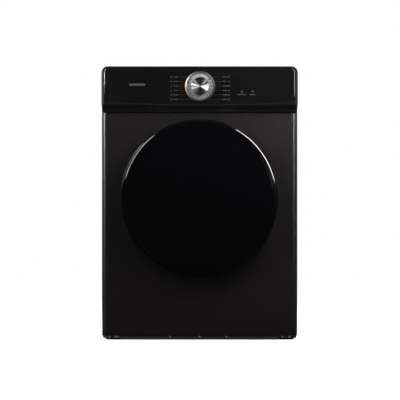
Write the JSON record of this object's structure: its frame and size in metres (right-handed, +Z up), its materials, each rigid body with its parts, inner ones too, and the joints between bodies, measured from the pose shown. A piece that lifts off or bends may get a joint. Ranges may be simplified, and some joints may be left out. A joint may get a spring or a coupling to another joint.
{
  "type": "vented tumble dryer",
  "caption": "Front-loading vented clothes dryer in graphite with a round black glass door, gloss black control fascia and a central spun-metal selector dial",
  "frame": {"origin": "on the floor, at the centre of the machine's footprint", "axes": "+Z up, the door and controls face -Y, +X to the right of someone facing the machine"},
  "size_m": [0.6, 0.6, 0.835],
  "materials": {
    "graphite_paint": "satin metallic graphite enamel",
    "black_gloss": "high-gloss black moulding",
    "dark_glass": "black-tinted door glass, polished",
    "clear_glass": "clear pressed door bowl",
    "black_plastic": "fine-textured black moulding",
    "grey_plastic": "mid-grey moulding",
    "galvanised_steel": "galvanised sheet",
    "stainless_steel": "brushed stainless sheet",
    "spun_metal": "spun satin metal",
    "ring_grey": "silver-grey painted plastic",
    "amber_light": "amber light guide",
    "steel": "zinc-plated steel",
    "black_rubber": "black rubber",
    "felt": "pressed wool felt",
    "filter_mesh": "fine polyester filter gauze",
    "circuit_board": "circuit board",
    "cast_alloy": "motor shell",
    "heater_metal": "heat-tinted sheathed element",
    "pulley_plastic": "natural nylon"
  },
  "bodies": {
    "cabinet": {"air_inlet_grille": "stainless_steel", "back_panel": "galvanised_steel", "base_pan": "black_plastic", "blower_housing": "grey_plastic", "cabinet_screws": "steel", "cable_gland": "black_plastic", "console_fascia": "black_gloss", "console_housing": "graphite_paint", "control_board": "circuit_board", "dial_bezel": "spun_metal", "dial_light_ring": "amber_light", "door_catch": "black_plastic", "door_seal": "black_rubber", "drive_belt": "black_rubber", "drum_felt_seals": "felt", "exhaust_duct": "grey_plastic", "front_bulkhead": "galvanised_steel", "front_panel": "graphite_paint", "heater_element": "heater_metal", "heater_housing": "galvanised_steel", "hinge_bracket": "steel", "idler_spring": "steel", "lint_duct": "grey_plastic", "moisture_sensor_strips": "stainless_steel", "motor_body": "cast_alloy", "motor_bracket": "galvanised_steel", "programme_ring": "ring_grey", "rear_bulkhead": "galvanised_steel", "roller_axles": "steel", "selector_encoder": "black_plastic", "side_panel_left": "graphite_paint", "side_panel_right": "graphite_paint", "thermostats": "steel", "top_panel": "graphite_paint", "touch_sensor_board": "circuit_board", "vent_spigot": "black_plastic"},
    "door": {"door_outer_ring": "black_gloss", "door_outer_glass": "dark_glass", "door_inner_frame": "grey_plastic", "door_glass_bowl": "clear_glass", "door_strike": "steel", "door_hinge_arm": "steel", "door_screws": "steel"},
    "drum": {"drum_shell": "stainless_steel", "drum_lifters": "grey_plastic"},
    "roller_front_left_body": {"roller_front_left": "black_rubber"},
    "roller_front_right_body": {"roller_front_right": "black_rubber"},
    "roller_rear_left_body": {"roller_rear_left": "black_rubber"},
    "roller_rear_right_body": {"roller_rear_right": "black_rubber"},
    "motor_rotor": {"motor_shaft": "steel", "fan_wheel": "grey_plastic"},
    "idler_lever": {"idler_arm": "galvanised_steel"},
    "idler_wheel": {"idler_pulley": "pulley_plastic"},
    "dial": {"dial_knob": "spun_metal"},
    "lint_filter": {"lint_filter_frame": "grey_plastic", "lint_filter_mesh": "filter_mesh"},
    "foot_fl": {"foot_front_left": "black_rubber"},
    "foot_fr": {"foot_front_right": "black_rubber"},
    "foot_rl": {"foot_rear_left": "black_rubber"},
    "foot_rr": {"foot_rear_right": "black_rubber"}
  },
  "joints": [
    {"name": "door_hinge", "type": "hinge", "parent": "cabinet", "child": "door", "pos_m": [0.228, -0.28, 0.434], "axis": [0, 0, 1], "range_deg": [0, 110]},
    {"name": "dial_spin", "type": "hinge", "parent": "cabinet", "child": "dial", "pos_m": [0.0015, -0.29, 0.774], "axis": [0, 1, 0], "continuous": true},
    {"name": "drum_spin", "type": "hinge", "parent": "cabinet", "child": "drum", "pos_m": [0, 0, 0.434], "axis": [0, 1, 0], "continuous": true},
    {"name": "roller_front_left_spin", "type": "hinge", "parent": "cabinet", "child": "roller_front_left_body", "pos_m": [-0.22694, -0.159, 0.22238], "axis": [0, 1, 0], "continuous": true},
    {"name": "roller_front_right_spin", "type": "hinge", "parent": "cabinet", "child": "roller_front_right_body", "pos_m": [0.22694, -0.159, 0.22238], "axis": [0, 1, 0], "continuous": true},
    {"name": "roller_rear_left_spin", "type": "hinge", "parent": "cabinet", "child": "roller_rear_left_body", "pos_m": [-0.22694, 0.169, 0.22238], "axis": [0, 1, 0], "continuous": true},
    {"name": "roller_rear_right_spin", "type": "hinge", "parent": "cabinet", "child": "roller_rear_right_body", "pos_m": [0.22694, 0.169, 0.22238], "axis": [0, 1, 0], "continuous": true},
    {"name": "motor_spin", "type": "hinge", "parent": "cabinet", "child": "motor_rotor", "pos_m": [-0.185, 0, 0.1], "axis": [0, 1, 0], "continuous": true},
    {"name": "idler_arm_swing", "type": "hinge", "parent": "cabinet", "child": "idler_lever", "pos_m": [-0.15, 0.0655, 0.048], "axis": [0, 1, 0], "range_deg": [0, 15], "stiffness_Nm_per_rad": 1.5, "springref_deg": -34.38},
    {"name": "idler_pulley_spin", "type": "hinge", "parent": "idler_lever", "child": "idler_wheel", "pos_m": [-0.112, 0.084, 0.1015], "axis": [0, 1, 0], "continuous": true},
    {"name": "lint_filter_lift", "type": "slide", "parent": "cabinet", "child": "lint_filter", "axis": [0, 0, 1], "range_m": [0, 0.15]},
    {"name": "foot_front_left_height", "type": "slide", "parent": "cabinet", "child": "foot_fl", "axis": [0, 0, -1], "range_m": [0, 0.012]},
    {"name": "foot_front_right_height", "type": "slide", "parent": "cabinet", "child": "foot_fr", "axis": [0, 0, -1], "range_m": [0, 0.012]},
    {"name": "foot_rear_left_height", "type": "slide", "parent": "cabinet", "child": "foot_rl", "axis": [0, 0, -1], "range_m": [0, 0.012]},
    {"name": "foot_rear_right_height", "type": "slide", "parent": "cabinet", "child": "foot_rr", "axis": [0, 0, -1], "range_m": [0, 0.012]}
  ],
  "couplings": [
    {"joint": "roller_front_left_spin", "follows": "drum_spin", "ratio": -9.3333},
    {"joint": "roller_front_right_spin", "follows": "drum_spin", "ratio": -9.3333},
    {"joint": "roller_rear_left_spin", "follows": "drum_spin", "ratio": -9.3333},
    {"joint": "roller_rear_right_spin", "follows": "drum_spin", "ratio": -9.3333},
    {"joint": "motor_spin", "follows": "drum_spin", "ratio": 43.231},
    {"joint": "idler_pulley_spin", "follows": "drum_spin", "ratio": -14.79}
  ]
}
